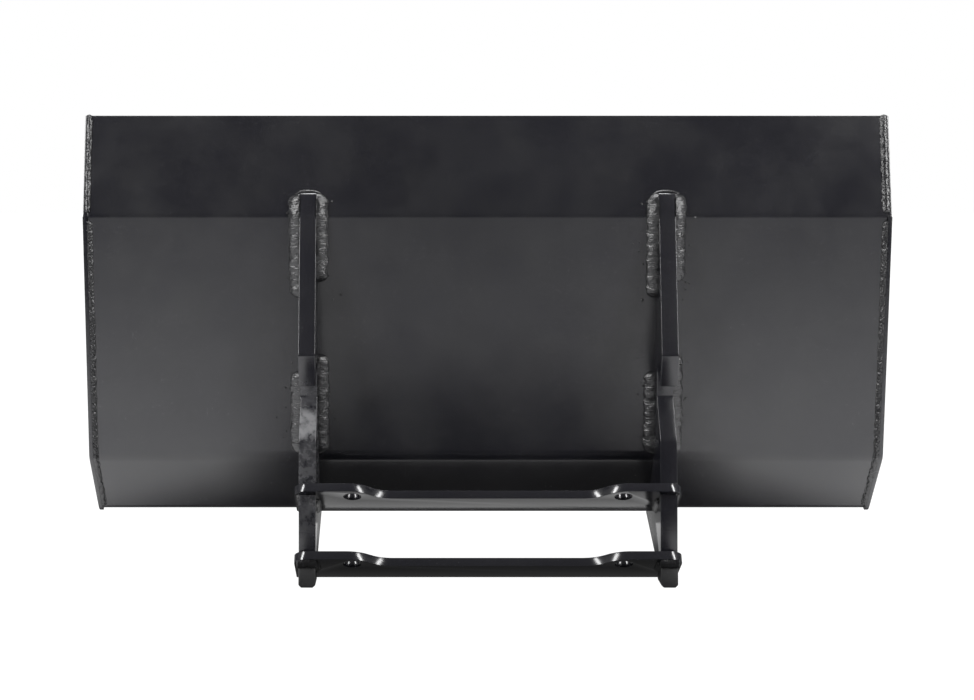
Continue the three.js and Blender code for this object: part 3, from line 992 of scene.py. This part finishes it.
    def upper_bar_weld(self, hand: Hand) -> bpy.types.Object:
        """The beads round the upper bar where it passes through a hook plate."""
        bar = self.upper_bar
        outer = hand.value * (self.centre + self.plate / 2)
        inner = hand.value * (self.centre - self.plate / 2)
        first, last, under_first = 14.0, 78.0, 34.0       # depths at which the beads begin and end
        flat, bend = bar.depth - first, 0.5 * math.pi * bar.clear
        length = 2 * (flat + bend)

        def rung(travel: float) -> Rung:
            """The rung along the top face, round the bar's far edge and back underneath."""
            from_end = travel - length / 2
            turn = max(-1.0, min(1.0, from_end / bend)) * math.pi / 2
            depth = bar.depth - max(0.0, abs(from_end) - bend)
            rise = -math.sin(turn) * bar.clear
            root = bar.placed(depth, rise, outer * MM)
            up = bar.turned(math.cos(turn), -math.sin(turn))
            return Rung(root, Vector((hand.value, 0.0, 0.0)), up)

        mesh = bmesh.new()
        Bead(length, 4.5, 4.3, lumps=0.6, seed=outer).lay(mesh, rung)
        under_length = last - under_first
        under = self.straight(
            bar.placed(under_first, -bar.clear, inner * MM),
            bar.placed(last, -bar.clear, inner * MM),
            Vector((-hand.value, 0.0, 0.0)), bar.turned(0.0, -1.0), under_length)
        Bead(under_length, 6.0, 6.0, lumps=0.8, seed=inner).lay(mesh, under)
        return self.finished(mesh, f"upper_bar_weld_{hand.word}",
                             f"crossbar_upper_weld_{hand.word}")

    def lower_bar_weld(self, hand: Hand) -> bpy.types.Object:
        """The bead where a hook plate lands on the lower bar."""
        bar = self.lower_bar
        first = 14.0
        mesh = bmesh.new()
        for face, length in ((hand.value, 38.0), (-hand.value, 30.0)):
            x = hand.value * self.centre + face * self.plate / 2
            path = self.straight(
                bar.placed(first, bar.clear, x * MM),
                bar.placed(first + length, bar.clear, x * MM),
                Vector((face, 0.0, 0.0)), bar.turned(0.0, 1.0), length)
            Bead(length, 5.0, 5.0, lumps=0.6, seed=x).lay(mesh, path)
        return self.finished(mesh, f"lower_bar_weld_{hand.word}",
                             f"crossbar_lower_weld_{hand.word}")

    def foot_weld(self, hand: Hand) -> bpy.types.Object:
        """The heavy, uneven welds that hold a foot under the lower bar."""
        bar = self.lower_bar
        near = (bar.behind - BACK.foot_behind + bar.clear * math.sin(bar.tilt)) / math.cos(bar.tilt)
        length, side_length = self.plate + 6.0, 34.0
        middle = hand.value * self.centre
        front = self.straight(
            bar.placed(near, -bar.clear, (middle - length / 2) * MM),
            bar.placed(near, -bar.clear, (middle + length / 2) * MM),
            BACK.turned(0.0, -1.0), bar.turned(-1.0, 0.0), length)
        mesh = bmesh.new()
        Bead(length, 9.5, 9.5, ripple=4.2, depth=0.8, lumps=1.5, taper=3.0, flat=1.1,
             seed=middle).lay(mesh, front)
        inner = middle - hand.value * self.plate / 2
        side = self.straight(
            bar.placed(near, -bar.clear, inner * MM),
            bar.placed(near + side_length, -bar.clear, inner * MM),
            Vector((-hand.value, 0.0, 0.0)), BACK.turned(0.0, -1.0), side_length)
        Bead(side_length, 7.0, 7.0, lumps=1.1, seed=inner).lay(mesh, side)
        return self.finished(mesh, f"foot_bead_{hand.word}", f"foot_weld_{hand.word}")

    def edge_welds(self) -> Iterator[bpy.types.Object]:
        """The two long beads between the floor and the cutting edge."""
        half, forward, up = self.side_inner - 0.5, BACK.turned(-1.0, 0.0), BACK.turned(0.0, 1.0)
        runs = {"edge_weld_inner": (-470.0, 0.0, forward, up, 5.0),
                "edge_weld_under": (-400.0, 0.0, -forward, -up, 9.0)}
        for node, (behind, height, over, rise, size) in runs.items():
            mesh = bmesh.new()
            path = self.straight(BACK.placed(behind, height, -half * MM),
                                 BACK.placed(behind, height, half * MM), over, rise, 2 * half)
            Bead(2 * half, size, size, ripple=4.5, lumps=0.5, rounds=14, seed=size).lay(mesh, path)
            yield self.finished(mesh, f"long_{node}", node)


@dataclass
class Spatter:
    """Small beads of metal thrown out beside the stitches and painted over.

    Attributes:
        finishes: where the coat comes from.
        count: how many there are beside each stitch.
        stretches: where the stitches lie, as distances from the lip in millimetres.
        toe: distance of a stitch's outer edge from the plate's middle.
        scatter: how far they usually land from it.
    """

    finishes: Finishes
    count: int = 22
    stretches: tuple[tuple[float, float], ...] = ((112.0, 285.0), (360.0, 520.0))
    toe: float = 26.5
    scatter: float = 5.0

    def build(self) -> Iterator[bpy.types.Object]:
        """Scatters the beads and yields the piece that they make."""
        rng = random.Random(7)
        mesh = bmesh.new()
        for hand in Hand:
            for face in (-1, 1):
                for start, end in self.stretches:
                    edge = hand.value * HOOK_CENTRE + face * self.toe
                    for _ in range(self.count):
                        travel = rng.uniform(start, end)
                        x = edge + face * rng.expovariate(1 / self.scatter)
                        station = BACK.at(travel)
                        self.drop(mesh, station.point + Vector((x * MM, 0, 0)), rng)
        piece = finish_piece("weld_spatter", mesh, (), 80.0)
        self.finishes.dress(piece, "coat_weld")
        yield piece

    @staticmethod
    def drop(mesh: bmesh.types.BMesh, place: Vector, rng: random.Random) -> None:
        """Adds one bead of spatter.

        Args:
            mesh: where it goes.
            place: the point on the sheet under it.
            rng: gives its size.
        """
        smallest, largest, spread = 0.6, 2.2, 0.45
        radius = min(largest, smallest + rng.expovariate(1 / spread)) * MM
        bmesh.ops.create_icosphere(mesh, subdivisions=2, radius=radius,
                                   matrix=Matrix.Translation(place))


# ---- camera, lights and floor -------------------------------------------------------------------


@dataclass
class Studio:
    """A white room with one dark end, and a camera low behind the bucket.

    Attributes:
        focal_length: of the lens, in millimetres on a 36 mm sensor.
        distance: from the heel to the lens, level, in millimetres on the drawing.
        rise: of the lens over the heel on the drawing, in millimetres.
        look_up: the lens's tilt on the drawing, in degrees, before the bucket is tipped.
        sidestep: the camera's place left of the middle.
        shift: the sensor's sideways shift.
        floor_glow: light that the floor gives under the bucket, seen in reflections.
        near_glow: the same for the floor below the bars.
        far_glow: the same for the floor far behind it.
        close_glow: the same close behind its outer parts.
    """

    focal_length: float = 61.6
    distance: float = 2643.0
    rise: float = 250.0
    look_up: float = 2.0
    sidestep: float = -0.1076
    shift: float = 0.0729
    floor_glow: float = 0.35
    near_glow: float = 0.09
    far_glow: float = 0.45
    close_glow: float = 0.7

    def build(self) -> None:
        """Makes the camera, the floor, the lights and the world."""
        self.camera()
        self.floor()
        self.lights()
        self.world()
        scene = bpy.context.scene
        scene.view_settings.view_transform = "Standard"
        scene.view_settings.look = "None"

    def camera(self) -> None:
        """Sets up the scene's camera."""
        data = bpy.data.cameras.new("camera")
        data.lens = self.focal_length
        data.sensor_width = 36.0
        data.shift_x = self.shift
        lens = bpy.data.objects.new("camera", data)
        bpy.context.scene.collection.objects.link(lens)
        up = math.radians(self.look_up)
        behind = self.distance * math.cos(up) + self.rise * math.sin(up)
        height = self.rise * math.cos(up) - self.distance * math.sin(up)
        lens.location = BACK.placed(behind, height, self.sidestep)
        lens.rotation_euler = (math.radians(90.0) + up - BACK.pitch, 0.0, 0.0)
        bpy.context.scene.camera = lens

    def floor(self) -> None:
        """A pale floor that shows almost white from above; in reflections it takes the bucket's real
        shadow, with painted shadow and painted glow added.
        """
        mesh = bmesh.new()
        bmesh.ops.create_grid(mesh, x_segments=1, y_segments=1, size=30.0)
        data = bpy.data.meshes.new("floor")
        mesh.to_mesh(data)
        mesh.free()
        floor = bpy.data.objects.new("floor", data)
        bpy.context.scene.collection.objects.link(floor)
        made = bpy.data.materials.new("floor_white")
        made.use_nodes = True
        wire = Wiring(made.node_tree)
        shader = made.node_tree.nodes["Principled BSDF"]
        shader.inputs["Base Color"].default_value = (0.8, 0.8, 0.81, 1.0)
        shader.inputs["Roughness"].default_value = 0.8
        place = wire.add("ShaderNodeSeparateXYZ", sockets={"Vector": place_socket(wire)})
        aside = wire.math("ABSOLUTE", place.outputs["X"])
        behind = wire.math("MULTIPLY", place.outputs["Y"], -1.0)
        # Painted shadow: where pale is low the floor turns to a near-black diffuse, under and just
        # behind the heel and down the middle out to about 1.5 m behind, seen mostly in the bucket's
        # reflections.
        clear_of_heel = wire.mapped(
            wire.math("ADD", behind, wire.math("MULTIPLY", aside, 0.25)), 0.29, 0.37)
        beside = wire.mapped(aside, 0.31, 0.43)
        beyond = wire.mapped(behind, 1.5, 1.78, 0.0, 0.7)
        pale = wire.math("MULTIPLY", clear_of_heel, wire.math("MAXIMUM", beside, beyond))
        shade = wire.add("ShaderNodeBsdfDiffuse", sockets={"Color": (0.02, 0.02, 0.02, 1.0)})
        ground = wire.add("ShaderNodeMixShader", sockets={
            0: pale, 1: shade.outputs[0], 2: shader.outputs[0]})
        # Painted light: the floor glows like a lamp, seen in reflections, under the bucket, below the
        # bars, far behind, and close behind the outer parts.
        under = wire.math("MAXIMUM", wire.mapped(behind, 0.02, 0.16, self.floor_glow, 0.0),
                          wire.mapped(behind, 0.3, 0.8, self.near_glow, 0.0))
        far = wire.mapped(behind, 1.2, 4.0, 0.0, self.far_glow)
        close = wire.math("MULTIPLY", wire.mapped(behind, 0.5, 0.3), wire.math(
            "MULTIPLY", clear_of_heel, beside))
        glow = wire.math("ADD", wire.math("ADD", under, wire.math("MULTIPLY", far, pale)),
                         wire.math("MULTIPLY", close, self.close_glow))
        painted_glow = wire.add("ShaderNodeEmission", sockets={"Strength": glow})
        lifted = wire.add("ShaderNodeAddShader", sockets={0: ground.outputs[0],
                                                          1: painted_glow.outputs[0]})
        white = wire.add("ShaderNodeEmission", sockets={"Strength": 1.2})
        seen = wire.add("ShaderNodeLightPath").outputs["Is Camera Ray"]
        blend = wire.add("ShaderNodeMixShader", sockets={
            0: wire.math("MULTIPLY", seen, 0.9), 1: lifted.outputs[0], 2: white.outputs[0]})
        made.node_tree.links.new(
            blend.outputs[0], made.node_tree.nodes["Material Output"].inputs["Surface"])
        floor.data.materials.append(made)

    def lights(self) -> None:
        """A soft box overhead, a tall strip behind each side and a card between the bars."""
        self.soft_box("overhead", (0.0, 0.4, 2.7), (0.0, 0.0, 0.3), 1.5, 1.1, 85.0)
        for hand in Hand:
            self.soft_box(f"strip_{hand.word}", (2.0 * hand.value, -1.5, 1.7), (0.0, -0.2, 0.3),
                          0.5, 1.8, 62.0)
        self.soft_box("bounce_card", (0.0, -0.288, 0.06), (0.0, -0.5, 0.3), 0.5, 0.06, 0.078)

    @staticmethod
    def soft_box(name: str, spot: tuple[float, float, float], aim: tuple[float, float, float],
                 width: float, height: float, power: float) -> None:
        """Adds one area light.

        Args:
            name: the light's name.
            spot: where it hangs.
            aim: the point it faces.
            width: across, in metres.
            height: up and down, in metres.
            power: in watts.
        """
        data = bpy.data.lights.new(name, "AREA")
        data.shape = "RECTANGLE"
        data.size = width
        data.size_y = height
        data.energy = power
        lamp = bpy.data.objects.new(name, data)
        bpy.context.scene.collection.objects.link(lamp)
        lamp.location = spot
        lamp.rotation_euler = (Vector(aim) - Vector(spot)).to_track_quat("-Z", "Y").to_euler()

    @staticmethod
    def world() -> None:
        """White all round, with the dark end of the room behind and above the camera."""
        world = bpy.data.worlds.new("white_room")
        bpy.context.scene.world = world
        world.use_nodes = True
        wire = Wiring(world.node_tree)
        way = wire.add("ShaderNodeTexCoord").outputs["Generated"]
        climb = math.radians(28.0)
        dark_way = Vector((0.0, -math.cos(climb), math.sin(climb)))
        towards = wire.add("ShaderNodeVectorMath", operation="DOT_PRODUCT", sockets={
            0: way, 1: dark_way}).outputs["Value"]
        level = wire.mapped(towards, 0.45, 0.82, 0.4, 0.14)
        height = wire.add("ShaderNodeSeparateXYZ", sockets={"Vector": way}).outputs["Z"]
        level = wire.math("MULTIPLY", level, wire.mapped(height, 0.12, 0.4, 0.3, 1.1))
        seen = wire.add("ShaderNodeLightPath").outputs["Is Camera Ray"]
        strength = wire.math("MAXIMUM", level, seen)
        background = world.node_tree.nodes["Background"]
        background.inputs["Color"].default_value = (1.0, 1.0, 1.0, 1.0)
        world.node_tree.links.new(strength, background.inputs["Strength"])


# ---- assembly -----------------------------------------------------------------------------------


def main() -> None:
    """Builds the bucket and its surroundings, and reports each piece."""
    logging.basicConfig(level=logging.INFO, format="%(message)s")
    Studio().build()
    finishes = Finishes()
    finishes.prepare()
    for assembly in (Shell(finishes), Brackets(finishes), Welds(finishes), Spatter(finishes)):
        for piece in assembly.build():
            log.info("%s: %d faces", piece.name, len(piece.data.polygons))
    plain = [name for name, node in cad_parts.items() if not node.hide_render]
    log.info("CAD nodes still shown: %s", plain)


if __name__ == "__main__":
    main()
